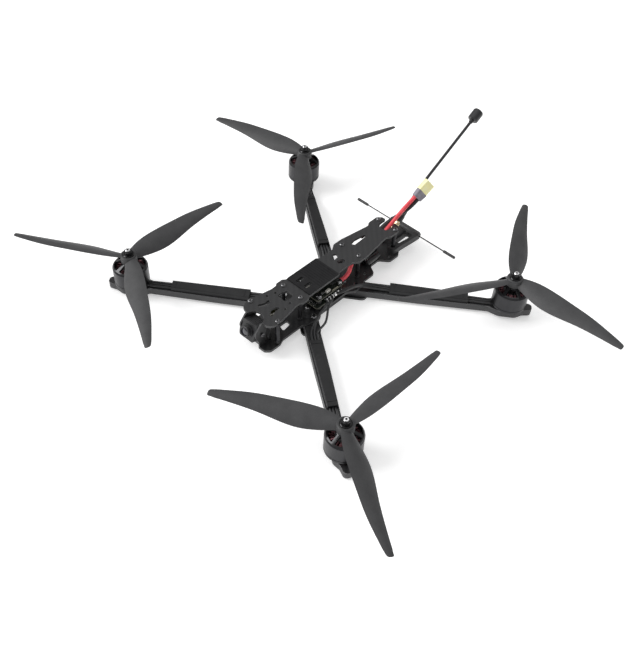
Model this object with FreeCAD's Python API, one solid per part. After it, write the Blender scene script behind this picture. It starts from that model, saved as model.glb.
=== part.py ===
import FreeCAD
import Part
import math
import os

# Ten-inch X-frame quadcopter. Millimetres. +Z is up and z = 0 is the belly of the lower plate.
# The drone's nose points along -Y and its left-hand side along +X. Origin at the middle of the body.

V = FreeCAD.Vector
X = V(1, 0, 0)
Y = V(0, 1, 0)
Z = V(0, 0, 1)

# ---- driving dimensions: layout ----
motor_x = 150.0            # motor axes, to each side
motor_y = 130.0            # motor axes, ahead and behind
arm_slope = 0.72           # rise of an arm's centre line across the body
prop_radius = 127.0        # ten-inch propeller

# ---- heights of the layers ----
lower_t = 2.5
arm_t = 8.0
main_t = 3.0
standoff_h = 28.0
top_t = 2.5
arm_z = lower_t
main_z = arm_z + arm_t
deck_z = main_z + main_t
top_z = deck_z + standoff_h
roof_z = top_z + top_t
prop_z = 46.3              # mid-plane of the blade tips

# ---- fasteners ----
m3_r = 1.5
m3_hole_r = 1.6
head_r = 2.8
head_h = 1.7
nut_flat = 5.5
nut_h = 3.6
standoff_r = 2.6

# ---- arms and cable covers ----
arm_half = 7.5
arm_waist = 6.0            # half width where the beam meets the motor pad
pad_half = 11.0
arm_tip = 25.5
cover_half = 6.4           # at its body end
cover_tip = 5.4            # at its motor end
cover_h = 5.2
cover_wall = 1.2
cover_start = 42.5
cover_end = 125.5
cover_slid = {"front_left": 3.6}
wire_r = 1.2
wire_pitch = 2.8

# ---- motors ----
bell_r = 18.3
bell_wall = 1.2
magnet_t = 1.3
bell_low = arm_z + arm_t + 4.5
bell_high = 35.0
hub_top = 41.5
base_r = 13.0
base_t = 3.0
wire_exit = 17.0           # from the motor's axis to where its wires leave the base
stator_r = 15.4
shaft_r = 2.5
bearing_gap = 0.05
motor_pcd = 19.0
teeth = 12
spokes = 6

# ---- propellers ----
hub_r = 8.5
nut_top = 55.6
shaft_top = 56.8

# ---- camera ----
cam_y = -97.0
cam_z = 30.0
cam_half = 9.5
cam_up = 20.0              # degrees that the lens looks up at rest
cheek_x = 9.8              # inner face of each camera cheek
cheek_t = 1.6
pivot_r = 1.0
lens_r = 5.6
lens_seat = 9.4            # front of the housing, from the pivot along the lens
lens_front = 13.6
glass_r = 4.1
glass_back = 11.8
bezel_r = 6.8

# ---- electronics stack ----
stack_y = -4.0
stack_pitch = 30.5
esc_z = 20.0
esc_half = 20.5
fc_z = 27.0
board_t = 1.6
pad_x = 18.9               # inner end of each motor wire on its pad
pad_mid = -0.6             # middle of the row of motor wire pads
pad_pitch = 4.36

# ---- tail ----
lead_r = 2.25
t_y = 140.0
t_z = 18.3
mount_half = 20.5
t_reach = 55.0             # where each whip's end sleeve starts
pole_up = 41.0             # degrees that the long antenna leans up from level at its socket
pole_out = 30.3            # and beyond its bend
bend_start = 20.0
bend_end = 70.0
pole_length = 142.0        # from the socket's flange to the head
pole_r = 1.7
sma_origin = V(0, 122.0, 36.2)

arm_angle = math.degrees(math.atan(arm_slope))

# name: (x, y, direction of the arm, turn of the blades about Z, spins clockwise from above)
corners = {
    "front_left": (motor_x, -motor_y, -arm_angle, 88.2, True),
    "front_right": (-motor_x, -motor_y, 180 + arm_angle, 89.6, False),
    "rear_left": (motor_x, motor_y, arm_angle, 118.5, False),
    "rear_right": (-motor_x, motor_y, 180 - arm_angle, 72.4, True),
}

standoffs_xy = [(19, -83), (12, -44), (12, 44), (12, 104)]
arm_bolts_xy = [(8, -27.8), (21.5, -32.8), (8, 27.8), (21.5, 32.8)]
motor_screws_xy = [(motor_pcd / 2 * math.cos(math.radians(a)), motor_pcd / 2 * math.sin(math.radians(a)))
                   for a in (45, 135, 225, 315)]
stack_xy = [(stack_pitch / 2, stack_y - stack_pitch / 2), (stack_pitch / 2, stack_y + stack_pitch / 2)]


# ---------------------------------------------------------------- helpers

def save(name, shape):
    shape.exportStep("parts/%s.step" % name)
    print("%-26s solids %3d volume %10.1f" % (name, len(shape.Solids), shape.Volume))


def both_sides(points):
    """Each (x, y) and its mirror across the Y axis."""
    return [(side * x, y) for x, y in points for side in (1, -1)]


def mirrored(half):
    """Closed outline from its right-hand half, listed front to rear as (x, y, corner radius)."""
    return half + [(-x, y, r) for x, y, r in reversed(half)]


def outline(points):
    """Closed wire through (x, y, corner radius) points, each corner rounded by a tangent arc."""
    count = len(points)
    ends = []
    for i in range(count):
        x, y, r = points[i]
        here = V(x, y, 0)
        back = V(*points[i - 1][:2], 0) - here
        ahead = V(*points[(i + 1) % count][:2], 0) - here
        back.normalize()
        ahead.normalize()
        half = back.getAngle(ahead) / 2
        if r <= 0 or half > 1.55:
            ends.append((here, None, here))
            continue
        reach = r / math.tan(half)
        middle = back + ahead
        middle.normalize()
        ends.append((here + back * reach, here + middle * (r / math.sin(half) - r), here + ahead * reach))
    edges = []
    for i in range(count):
        start, mid, stop = ends[i]
        if mid is not None:
            edges.append(Part.Arc(start, mid, stop).toShape())
        nxt = ends[(i + 1) % count][0]
        side = V(*points[(i + 1) % count][:2], 0) - V(*points[i][:2], 0)
        if side.dot(nxt - stop) < -1e-6:
            raise ValueError("corner radii too large near %s" % (points[i],))
        if stop.distanceToPoint(nxt) > 1e-6:
            edges.append(Part.LineSegment(stop, nxt).toShape())
    return Part.Wire(edges)


def slab(points, z, t):
    """Plate of thickness t standing on height z with a rounded outline."""
    face = Part.Face(outline(points))
    face.translate(V(0, 0, z))
    return face.extrude(V(0, 0, t))


def side_slab(points, x, t):
    """Plate standing upright across X: its outline is given as (y, z, corner radius)."""
    plate = slab(points, 0, t)
    plate.rotate(V(0, 0, 0), V(1, 1, 1), 120)
    plate.translate(V(x, 0, 0))
    return plate


def block(x0, x1, y0, y1, z0, z1):
    return Part.makeBox(x1 - x0, y1 - y0, z1 - z0, V(x0, y0, z0))


def rod(r, z0, z1, x=0.0, y=0.0):
    return Part.makeCylinder(r, z1 - z0, V(x, y, z0), Z)


def rods(r, z0, z1, places):
    return [rod(r, z0, z1, x, y) for x, y in places]


def ring(r_out, r_in, z0, z1, x=0.0, y=0.0):
    return rod(r_out, z0, z1, x, y).cut(rod(r_in, z0 - 1, z1 + 1, x, y))


def turned(profile):
    """Solid of revolution about Z from an (r, z) profile."""
    points = [V(r, 0, z) for r, z in profile]
    wire = Part.makePolygon(points + [points[0]])
    return Part.Face(wire).revolve(V(0, 0, 0), Z, 360)


def hexagon(flat, z0, z1, x=0.0, y=0.0):
    r = flat / math.sqrt(3)
    points = [V(x + r * math.cos(a), y + r * math.sin(a), z0)
              for a in [math.radians(60 * k) for k in range(6)]]
    return Part.Face(Part.makePolygon(points + [points[0]])).extrude(V(0, 0, z1 - z0))


def slot(x, y, length, width, z0, z1, angle=0.0):
    """Round-ended bar, length end to end, lying along X before it is turned."""
    half = length / 2
    r = width / 2
    bar = slab([(-half, -r, r * 0.98), (half, -r, r * 0.98), (half, r, r * 0.98), (-half, r, r * 0.98)],
               z0, z1 - z0)
    bar.rotate(V(0, 0, 0), Z, angle)
    bar.translate(V(x, y, 0))
    return bar


def pose(shape, name):
    """Place a piece made about a motor axis, its +X pointing away from the body."""
    x, y, angle = corners[name][:3]
    out = shape.copy()
    out.rotate(V(0, 0, 0), Z, angle)
    out.translate(V(x, y, 0))
    return out


def aimed(shape, origin, axis, across):
    """Place a piece made along +Z with its width along X."""
    z_dir = V(axis)
    z_dir.normalize()
    x_dir = V(across)
    x_dir = x_dir - z_dir * x_dir.dot(z_dir)
    x_dir.normalize()
    y_dir = z_dir.cross(x_dir)
    m = FreeCAD.Matrix(x_dir.x, y_dir.x, z_dir.x, origin.x,
                       x_dir.y, y_dir.y, z_dir.y, origin.y,
                       x_dir.z, y_dir.z, z_dir.z, origin.z,
                       0, 0, 0, 1)
    return shape.transformed(m, False)


def bent_tube(points, r, label=None):
    """Round tube along straight runs joined by tangent arcs as large as the runs allow."""
    pts = [V(*p) for p in points]
    edges = []
    last = pts[0]
    radii = []
    for i in range(1, len(pts) - 1):
        a = pts[i - 1] - pts[i]
        b = pts[i + 1] - pts[i]
        run = min(a.Length, b.Length)
        a.normalize()
        b.normalize()
        half_turn = (math.pi - a.getAngle(b)) / 2
        if half_turn < 1e-3:
            edges.append(Part.LineSegment(last, pts[i]).toShape())
            last = pts[i]
            continue
        reach = 0.45 * run
        arc_r = reach / math.tan(half_turn)
        middle = a + b
        middle.normalize()
        mid = pts[i] + middle * (arc_r / math.cos(half_turn) - arc_r)
        start = pts[i] + a * reach
        stop = pts[i] + b * reach
        edges.append(Part.LineSegment(last, start).toShape())
        edges.append(Part.Arc(start, mid, stop).toShape())
        radii.append(arc_r)
        last = stop
    edges.append(Part.LineSegment(last, pts[-1]).toShape())
    path = Part.Wire(edges)
    length = path.Length
    first = pts[1] - pts[0]
    section = Part.Wire(Part.makeCircle(r, pts[0], first))
    tube = path.makePipeShell([section], True, False)
    if label:
        ideal = math.pi * r * r * length
        print("%s: length %.1f, radii %s, volume ratio %.4f"
              % (label, length, " ".join("%.0f" % q for q in radii), tube.Volume / ideal))
    return tube


def button_head(x, y, z, up=True):
    """Low domed head with a hex socket, its flat face at height z."""
    dome = turned([(0, 0), (head_r, 0), (head_r, 0.5), (head_r - 0.5, 1.2), (head_r - 1.1, head_h),
                   (0, head_h)])
    dome = dome.cut(hexagon(2.0, 0.6, head_h + 1))
    if not up:
        dome.rotate(V(0, 0, 0), X, 180)
    dome.translate(V(x, y, z))
    return dome


def lock_nut(x, y, z):
    """Hex nut with a round collar, threaded on an M3 shank."""
    body = hexagon(nut_flat, z, z + 2.6, x, y).fuse(rod(2.4, z + 2.6, z + nut_h, x, y))
    return body.cut(rod(m3_r, z - 1, z + 5, x, y))


# ---------------------------------------------------------------- frame plates

def top_plate():
    plate = slab(mirrored([(21.0, -95.2, 8), (21.0, -79, 8), (16.7, -56, 10), (17, -49.5, 2),
                           (19, -47.5, 3), (19, -39, 3), (16.5, -36, 2), (16.5, 9, 2.5), (14, 12, 2.5),
                           (14, 31, 3), (18.5, 38, 4), (18.5, 50, 6), (13, 88, 6), (16, 92, 3),
                           (16, 105, 2), (11.5, 110, 3), (6.5, 110, 1.5), (6.5, 95.5, 3)]), top_z, top_t)
    low = top_z - 1
    high = roof_z + 1
    cuts = [rod(10.0, low, high, 0, cam_y)]
    cuts += rods(m3_hole_r, low, high, both_sides(standoffs_xy))
    cuts.append(slab([(-6.2, -58.6, 2.2), (6.2, -58.6, 2.2), (6.2, -52, 1.5), (4, -46, 2), (-4, -46, 2),
                      (-6.2, -52, 1.5)], low, top_t + 2))
    cuts.append(slab([(-6.5, 52, 1), (-2.5, 54, 1), (-3.2, 74, 1), (-6.2, 74, 1), (-8, 60, 1)], low,
                     top_t + 2))
    for side in (1, -1):
        cuts.append(slot(side * 5.5, -26.5, 9, 3, low, high, 90))
        cuts.append(slab([(side * 1.5, 21, 1), (side * 5, 20, 1), (side * 8.5, 26, 1), (side * 7, 29.5, 1),
                          (side * 2.5, 28, 1)][::side], low, top_t + 2))
        cuts.append(rod(1.5, low, high, side * 10, -57))
        cuts.append(rod(1.5, low, high, side * 12.5, -66))
        cuts.append(slab([(side * 4.6, -69.6, 1.2), (side * 8.2, -67.8, 1.2), (side * 7.6, -74.5, 4),
                          (side * 10.6, -81.6, 1.2), (side * 7.6, -83, 1.6), (side * 3.2, -76, 4.5)][::-side],
                         low, top_t + 2))
    return plate.cut(cuts)


def main_plate():
    plate = slab(mirrored([(7, -96.5, 1), (9.5, -100, 2), (18, -100, 4), (22.5, -95, 4), (22.5, -82, 5),
                           (20, -76, 6), (20, -50, 8), (25.5, -37, 4), (25.5, -27.5, 4), (20, -19, 5),
                           (20, 19, 5), (25.5, 27.5, 4), (25.5, 37, 4), (21.5, 46, 6), (21.5, 62, 4),
                           (11, 68, 5),
                           (11, 82, 5), (21, 90, 5), (21, 104, 4), (16, 111, 4), (5, 111, 0)]), main_z,
                           main_t)
    low = main_z - 1
    high = deck_z + 1
    cuts = rods(m3_hole_r, low, high, both_sides(standoffs_xy + arm_bolts_xy + stack_xy))
    cuts.append(slab(mirrored([(1.8, 64, 1), (2.6, 70, 1), (2.6, 86, 1)]), low, main_t + 2))
    for side in (1, -1):
        cuts.append(slab([(side * 4.5, -55, 1.5), (side * 4.5, -65.5, 1.5), (side * 12.5, -68, 1.5),
                          (side * 10.5, -56, 1.5)][::side], low, main_t + 2))
        cuts.append(rod(m3_hole_r, low, high, side * 15.0, 54))
        cuts.append(rod(m3_hole_r, low, high, side * 16.0, 94))
    return plate.cut(cuts)


def lower_plate():
    """Thin belly plate: a narrow spine with a rounded paddle under each arm root."""
    plate = slab(mirrored([(11, -47, 4), (15.5, -40, 3), (15.5, 40, 3), (11, 47, 4)]), 0, lower_t)
    for name in corners:
        reach = motor_x / math.cos(math.radians(arm_angle))
        paddle = slab([(-reach + 4, -10.5, 2), (-reach + 34, -10.5, 6), (-reach + 39, 0, 8),
                       (-reach + 34, 10.5, 6), (-reach + 4, 10.5, 2)], 0, lower_t)
        plate = plate.fuse(pose(paddle, name))
    plate = plate.removeSplitter()
    cuts = rods(m3_hole_r, -1, lower_t + 1, both_sides(arm_bolts_xy))
    for x, y in both_sides(arm_bolts_xy):
        sink = Part.makeCone(3.1, m3_hole_r, 1.6, V(x, y, 0.1), Z)
        cuts += [sink, rod(3.1, -1, 0.1, x, y)]
    cuts += [slot(0, y, 26, 8, -1, lower_t + 1, 0) for y in (-9, 9)]
    return plate.cut(cuts)


def arm(name):
    """Thick carbon arm: straight beam, motor pad and a narrow rounded tip."""
    far = 200.0
    half = [(-far, -arm_half, 0), (-95, -arm_half, 60), (-20, -arm_waist, 8), (-9, -pad_half, 7),
            (8.5, -pad_half, 6), (16, -arm_waist, 7), (arm_tip, -4.2, 4)]
    points = half + [(x, -y, r) for x, y, r in reversed(half)]
    beam = slab(points, arm_z, arm_t)
    low = arm_z - 1
    high = arm_z + arm_t + 1
    cuts = [rod(4.2, low, high)] + rods(m3_hole_r, low, high, motor_screws_xy)
    beam = pose(beam.cut(cuts), name)
    x = corners[name][0]
    side = 1 if x > 0 else -1
    trim = block(0, far, -far, far, low, high)
    trim.translate(V(1.0 if side > 0 else -far - 1.0, 0, 0))
    beam = beam.common(trim)
    return beam.cut(rods(m3_hole_r, low, high, both_sides(arm_bolts_xy)))


def tapered_strip(body_half, motor_half, spare):
    """Outline of an arm's cable cover, longer by spare at both ends."""
    return [(-cover_end - spare, -body_half, 0), (-cover_start + spare, -motor_half, 0),
            (-cover_start + spare, motor_half, 0), (-cover_end - spare, body_half, 0)]


def arm_cover(name):
    """Flat-topped channel that clips over the three motor wires."""
    z = arm_z + arm_t
    body = slab(tapered_strip(cover_half, cover_tip, 0), z, cover_h)
    long_edges = [e for e in body.Edges
                  if abs(e.BoundBox.XLength - (cover_end - cover_start)) < 0.1 and e.BoundBox.ZMin > z + 1]
    body = body.makeChamfer(0.7, long_edges)
    tunnel = slab(tapered_strip(cover_half - cover_wall, cover_tip - cover_wall, 1), z - 1,
                  cover_h - cover_wall + 1)
    ribs = [block(-x - 0.5, -x + 0.5, -cover_half - 1, cover_half + 1, z + cover_h - 0.35, z + 9)
            for x in (cover_start + 5, cover_end - 5)]
    cover = body.cut([tunnel] + ribs)
    cover.translate(X * -cover_slid.get(name, 0))
    return pose(cover, name)


# ---------------------------------------------------------------- frame hardware

def standoffs():
    pieces = []
    for x, y in both_sides(standoffs_xy):
        tube = turned([(m3_r, deck_z), (standoff_r, deck_z), (standoff_r, deck_z + 3),
                       (standoff_r - 0.35, deck_z + 4),
                       (standoff_r - 0.35, top_z - 4), (standoff_r, top_z - 3), (standoff_r, top_z),
                       (m3_r, top_z)])
        tube.translate(V(x, y, 0))
        pieces.append(tube)
    return Part.makeCompound(pieces)


def top_screws():
    return Part.makeCompound([button_head(x, y, roof_z).fuse(rod(m3_r, top_z - 6, roof_z + 0.3, x, y))
                              for x, y in both_sides(standoffs_xy)])


def lower_screws():
    return Part.makeCompound([button_head(x, y, main_z, False).fuse(rod(m3_r, main_z - 0.3, deck_z + 6, x, y))
                              for x, y in both_sides(standoffs_xy)])


def arm_bolts():
    pieces = []
    for x, y in both_sides(arm_bolts_xy):
        cone = Part.makeCone(3.0, m3_r, 1.55, V(x, y, 0.15), Z)
        bolt = cone.fuse(rod(m3_r, 0.5, deck_z + nut_h + 0.6, x, y)).cut(hexagon(2.0, -1, 1.2, x, y))
        pieces.append(bolt)
    return Part.makeCompound(pieces)


def lock_nuts():
    arms = [lock_nut(x, y, deck_z) for x, y in both_sides(arm_bolts_xy)]
    stack = [lock_nut(x, y, fc_z + board_t + 0.8) for x, y in both_sides(stack_xy)]
    return Part.makeCompound(arms + stack)


def battery_pad():
    """Ribbed grip mat that the battery is strapped onto."""
    pad = slab(mirrored([(16.2, -35, 1.5), (16.2, 8.5, 1.5)]), roof_z, 1.0)
    cuts = [slot(side * 5.5, -26.5, 10, 4, roof_z - 1, roof_z + 3, 90) for side in (1, -1)]
    cuts += [block(-15, 15, y, y + 0.9, roof_z + 0.7, roof_z + 3) for y in range(-19, 7, 3)]
    return pad.cut(cuts)


# ---------------------------------------------------------------- camera

def camera_cheek(side):
    """Carbon side plate with a curved horn that guards the lens."""
    x = cheek_x if side > 0 else -cheek_x - cheek_t
    plate = side_slab([(-84, deck_z, 0), (-84, top_z, 0), (-95.2, top_z, 0), (-95.2, 44.2, 0.8),
                       (-98, 44.2, 2.5),
                       (-105.6, 35, 5), (-104.9, 29, 5), (-100.5, 20, 6), (-100, deck_z, 0)], x, cheek_t)
    hole = Part.makeCylinder(pivot_r + bearing_gap, 10, V(x - 4, cam_y, cam_z), X)
    window = side_slab([(-91.5, 18, 1.4), (-87, 18, 1.4), (-87, 34, 1.4), (-90.5, 34, 1.4)], x - 1,
                       cheek_t + 2)
    return plate.cut([hole, window])


def camera_place(shape):
    out = shape.copy()
    out.rotate(V(0, 0, 0), X, -cam_up)
    out.translate(V(0, cam_y, cam_z))
    return out


def camera_housing():
    body = block(-cam_half, cam_half, -8, 8, -cam_half, cam_half)
    body = body.makeFillet(1.6, [e for e in body.Edges if e.BoundBox.YLength > 15])
    bezel = Part.makeCylinder(bezel_r, lens_seat - 8, V(0, -8, 0), Y * -1)
    seat = Part.makeCylinder(lens_r - 0.4, 2, V(0, 1 - lens_seat, 0), Y * -1)
    plug = block(-5, 5, 8, 11, -8, -3)
    body = body.fuse([bezel, plug]).cut(seat)
    fins = [block(-10, 10, y, y + 1.0, 8.9, 12) for y in (-5, -2.5, 0, 2.5, 5)]
    bores = [Part.makeCylinder(pivot_r, 5, V(side * 5.5, 0, 0), X * side) for side in (1, -1)]
    return camera_place(body.cut(fins + bores))


def camera_lens():
    """Threaded barrel with a notched focus ring, open at the front down to the glass."""
    rear = lens_seat - 1
    thread = lens_r - 0.4
    barrel = turned([(0, rear), (thread, rear), (thread, rear + 1.6), (thread - 0.6, rear + 1.9),
                     (thread - 0.6, rear + 2.6), (lens_r, rear + 2.8), (lens_r, lens_front - 0.5),
                     (lens_r - 0.5, lens_front), (lens_r - 1.1, lens_front), (glass_r, lens_front - 0.9),
                     (glass_r, glass_back), (0, glass_back)])
    notches = []
    for k in range(12):
        notch = block(lens_r - 0.3, lens_r + 1, -0.5, 0.5, rear + 3.2, lens_front - 0.9)
        notch.rotate(V(0, 0, 0), Z, 30 * k)
        notches.append(notch)
    barrel = barrel.cut(notches)
    barrel.rotate(V(0, 0, 0), X, 90)
    return camera_place(barrel)


def camera_glass():
    """Front element, slightly domed."""
    dome_r = 12.0
    sphere = Part.makeSphere(dome_r, V(0, 0, lens_front - 0.5 - dome_r))
    glass = rod(glass_r, glass_back, lens_front).common(sphere)
    glass.rotate(V(0, 0, 0), X, 90)
    return camera_place(glass)


def camera_screws():
    pieces = []
    for side in (1, -1):
        shank = Part.makeCylinder(pivot_r, cheek_x + cheek_t + 0.4 - 5.5, V(side * 5.5, 0, 0), X * side)
        head = Part.makeCylinder(2.0, 1.4, V(side * (cheek_x + cheek_t + 0.1), 0, 0), X * side)
        socket = hexagon(1.5, 0, 2)
        socket.rotate(V(0, 0, 0), Y, 90 * side)
        socket.translate(V(side * (cheek_x + cheek_t + 0.8), 0, 0))
        pieces.append(camera_place(shank.fuse(head).cut(socket)))
    return Part.makeCompound(pieces)


# ---------------------------------------------------------------- electronics

def esc_board():
    board = slab(mirrored([(esc_half, stack_y - 23, 2), (esc_half, stack_y + 23, 2)]), esc_z, board_t)
    return board.cut(rods(m3_hole_r, esc_z - 1, esc_z + 3, both_sides(stack_xy)))


def esc_mosfets():
    """Two rows of power transistors along each side and a controller in the middle."""
    z = esc_z + board_t
    pieces = []
    for side in (1, -1):
        for row in range(6):
            y = stack_y - 11.5 + row * 4.2
            for x in (7.0, 11.2):
                pieces.append(block(side * x - 1.8, side * x + 1.8, y, y + 3.4, z, z + 1.0))
    pieces.append(block(-3.5, 3.5, stack_y - 3.5, stack_y + 3.5, z, z + 0.9))
    return Part.makeCompound(pieces)


def fc_board():
    board = slab(mirrored([(18.5, stack_y - 20, 3), (18.5, stack_y + 20, 3)]), fc_z, board_t)
    return board.cut(rods(m3_hole_r, fc_z - 1, fc_z + 3, both_sides(stack_xy)))


def fc_components():
    """Processor, sensors and pale wire plugs: middle, width, depth and height of each."""
    z = fc_z + board_t
    places = [(0, 2, 8, 8, 1.2), (-8, 8, 4, 3, 1.0), (8, 8, 3, 3, 1.0), (6, -9, 5, 4, 1.4),
              (-3.3, -12.7, 5, 9.5, 2.4),
              (0, 16.5, 7.2, 6.0, 2.6)]
    for side in (1, -1):
        places += [(side * 15.5, -2, 4, 8.4, 2.8), (side * 15.5, 6, 4, 5, 2.8)]
    return Part.makeCompound([block(x - w / 2, x + w / 2, stack_y + y - d / 2, stack_y + y + d / 2, z, z + h)
                              for x, y, w, d, h in places])


def stack_bolts():
    top = fc_z + board_t + 0.8 + nut_h + 0.6
    return Part.makeCompound([button_head(x, y, main_z, False).fuse(rod(m3_r, main_z - 0.3, top, x, y))
                              for x, y in both_sides(stack_xy)])


def stack_spacers():
    pieces = []
    for x, y in both_sides(stack_xy):
        pieces.append(ring(2.8, m3_hole_r, deck_z, esc_z, x, y))
        pieces.append(ring(2.8, m3_hole_r, esc_z + board_t, fc_z, x, y))
        pieces.append(ring(2.8, m3_hole_r, fc_z + board_t, fc_z + board_t + 0.8, x, y))
    return Part.makeCompound(pieces)


def video_transmitter():
    """Finned metal box bolted to the rear deck."""
    body = block(-13, 2.5, 56, 88, deck_z + 0.5, deck_z + 8.5)
    fins = [block(-14, 4, y, y + 1.2, deck_z + 6.5, deck_z + 10) for y in range(58, 87, 3)]
    feet = [block(-11, -8, 60, 84, deck_z, deck_z + 0.5)]
    return body.cut(fins).fuse(feet)


def receiver():
    board = block(-14, -7.5, 72, 88, top_z - 3.4, top_z - 1.0)
    tape = block(-13, -8, 74, 86, top_z - 1.0, top_z)
    can = block(-13, -8.5, 76, 84, top_z - 4.6, top_z - 3.4)
    return board.fuse([tape, can])


def capacitor():
    can = turned([(0, 0), (3.6, 0), (4.0, 0.5), (4.0, 2.0), (3.7, 2.4), (4.0, 2.8), (4.0, 20), (3.6, 20.4),
                  (0, 20.4)])
    can.rotate(V(0, 0, 0), X, -90)
    can.translate(V(7.4, 64, deck_z + 4.05))
    return can


# ---------------------------------------------------------------- motors and propellers

def motor_base():
    """Bottom plate with four windows, its bearing tube and the block where the wires leave."""
    z = arm_z + arm_t
    base = rod(base_r, z, z + base_t).fuse(rod(5.0, z + base_t - 0.5, 34.8))
    base = base.fuse(block(-wire_exit, -base_r + 1, -4.4, 4.4, z, z + base_t))
    cuts = [rod(shaft_r + bearing_gap, z - 1, 36)]
    for k in range(4):
        window = block(6.8, 11.2, -2.6, 2.6, z - 1, z + base_t + 1)
        window.rotate(V(0, 0, 0), Z, 90 * k)
        cuts.append(window)
    cuts += rods(m3_r, z - 1, z + 2, motor_screws_xy)
    return base.cut(cuts)


def motor_screws():
    return [button_head(x, y, arm_z, False).fuse(rod(m3_r, arm_z - 0.3, arm_z + arm_t + 2, x, y))
            for x, y in motor_screws_xy]


def stator_core():
    low = 16.5
    high = 32.5
    core = rod(stator_r, low, high).cut(rod(5.0, low - 1, high + 1))
    gap = math.radians(360 / teeth)
    slots = []
    for k in range(teeth):
        half = gap / 2
        inner = 8.0
        outer = stator_r - 1.1
        w = 1.25
        start = V(inner, (inner * math.tan(half) - w / math.cos(half)), 0)
        stop = V(outer, (outer * math.tan(half) - w / math.cos(half)), 0)
        points = [start, stop, V(stop.x, -stop.y, 0), V(start.x, -start.y, 0)]
        pocket = Part.Face(Part.makePolygon(points + [points[0]])).extrude(V(0, 0, high - low + 2))
        mouth = block(outer - 1, stator_r + 1, -0.8, 0.8, 0, high - low + 2)
        pocket = pocket.fuse(mouth)
        pocket.translate(V(0, 0, low - 1))
        pocket.rotate(V(0, 0, 0), Z, 360 / teeth * (k + 0.5))
        slots.append(pocket)
    return core.cut(slots)


def stator_coils():
    """One wound coil round each tooth."""
    inner = 8.6
    outer = 14.0
    low = 15.0
    high = 34.0
    tan = math.tan(math.radians(180 / teeth))
    points = [(inner, -(inner * tan - 0.15), 0.3), (outer, -(outer * tan - 0.25), 0.8),
              (outer, outer * tan - 0.25, 0.8), (inner, inner * tan - 0.15, 0.3)]
    coil = slab(points, low, high - low)
    coil = coil.cut(block(inner - 1, outer + 1, -1.3, 1.3, 16.5, 32.5))
    pieces = []
    for k in range(teeth):
        one = coil.copy()
        one.rotate(V(0, 0, 0), Z, 360 / teeth * k)
        pieces.append(one)
    return pieces


def motor_bell():
    """Rotor can with spoked top, magnets and the shaft that carries the propeller."""
    inner = bell_r - bell_wall
    magnet = inner - magnet_t
    profile = [(inner, bell_low), (bell_r, bell_low), (bell_r, bell_high - 0.6),
               (bell_r - 1.2, bell_high + 1.2),
               (8.2, hub_top - 0.4), (7.2, hub_top), (shaft_r, hub_top), (shaft_r, shaft_top - 0.5),
               (shaft_r - 0.5, shaft_top), (1.1, shaft_top), (1.1, shaft_top - 3), (0, shaft_top - 3),
               (0, 11.0), (shaft_r, 11.0), (shaft_r, 35.6), (5.0, 35.6), (6.5, 38.0), (8.5, 38.0),
               (inner - 0.4, bell_high - 0.8), (inner - 0.4, 33.2), (magnet, 33.2), (magnet, 16.0),
               (inner, 16.0)]
    bell = turned(profile)
    cuts = []
    web = 1.7
    for k in range(spokes):
        half = math.radians(180 / spokes)
        near = 8.6
        far = bell_r - 2.4
        points = []
        for r, sign in ((near, -1), (far, -1), (far, 1), (near, 1)):
            a = half - math.asin(web / r)
            points.append((r * math.cos(a), sign * r * math.sin(a)))
        edges = [Part.LineSegment(V(*points[0], 0), V(*points[1], 0)).toShape(),
                 Part.Arc(V(*points[1], 0), V(far, 0, 0), V(*points[2], 0)).toShape(),
                 Part.LineSegment(V(*points[2], 0), V(*points[3], 0)).toShape(),
                 Part.Arc(V(*points[3], 0), V(near, 0, 0), V(*points[0], 0)).toShape()]
        window = Part.Face(Part.Wire(edges)).extrude(V(0, 0, 12))
        window.translate(V(0, 0, 33.4))
        window.rotate(V(0, 0, 0), Z, 360 / spokes * k)
        cuts.append(window)
    groove = ring(bell_r + 1, bell_r - 0.3, bell_low + 2.2, bell_low + 2.9)
    return bell.cut(cuts + [groove])


# distance from the axis, leading edge, trailing edge, pitch in degrees, thickness
blade_stations = [
    (5.0, 6.5, -5.6, 26.0, 4.0),
    (11.0, 8.3, -6.4, 26.0, 3.6),
    (20.0, 10.4, -8.6, 26.0, 3.0),
    (30.0, 11.5, -10.4, 25.5, 2.5),
    (40.0, 11.8, -11.3, 24.5, 2.2),
    (50.0, 11.7, -10.9, 23.5, 2.0),
    (62.0, 11.3, -9.3, 22.0, 1.8),
    (76.0, 10.8, -7.0, 20.0, 1.6),
    (91.0, 9.7, -5.3, 17.5, 1.4),
    (105.0, 7.7, -4.2, 15.5, 1.3),
    (115.0, 6.0, -3.6, 14.2, 1.2),
    (121.0, 4.9, -3.2, 13.2, 1.0),
    (125.4, 3.7, -2.8, 12.8, 0.9),
    (126.6, 2.6, -2.3, 12.8, 0.8),
    (prop_radius, 1.4, -1.5, 12.8, 0.6),
]


def blade_section(r, lead, trail, pitch, thick):
    """Cambered lens of two arcs, chord from trailing to leading edge, leading edge high."""
    camber = 0.045 * (lead - trail)
    mid = (lead + trail) / 2
    a = math.radians(pitch)

    def at(c, n):
        return V(r, c * math.cos(a) - n * math.sin(a), c * math.sin(a) + n * math.cos(a))

    upper = Part.Arc(at(trail, 0), at(mid, camber + thick / 2), at(lead, 0)).toShape()
    lower = Part.Arc(at(lead, 0), at(mid, camber - thick / 2), at(trail, 0)).toShape()
    return Part.Wire([upper, lower])


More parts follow.
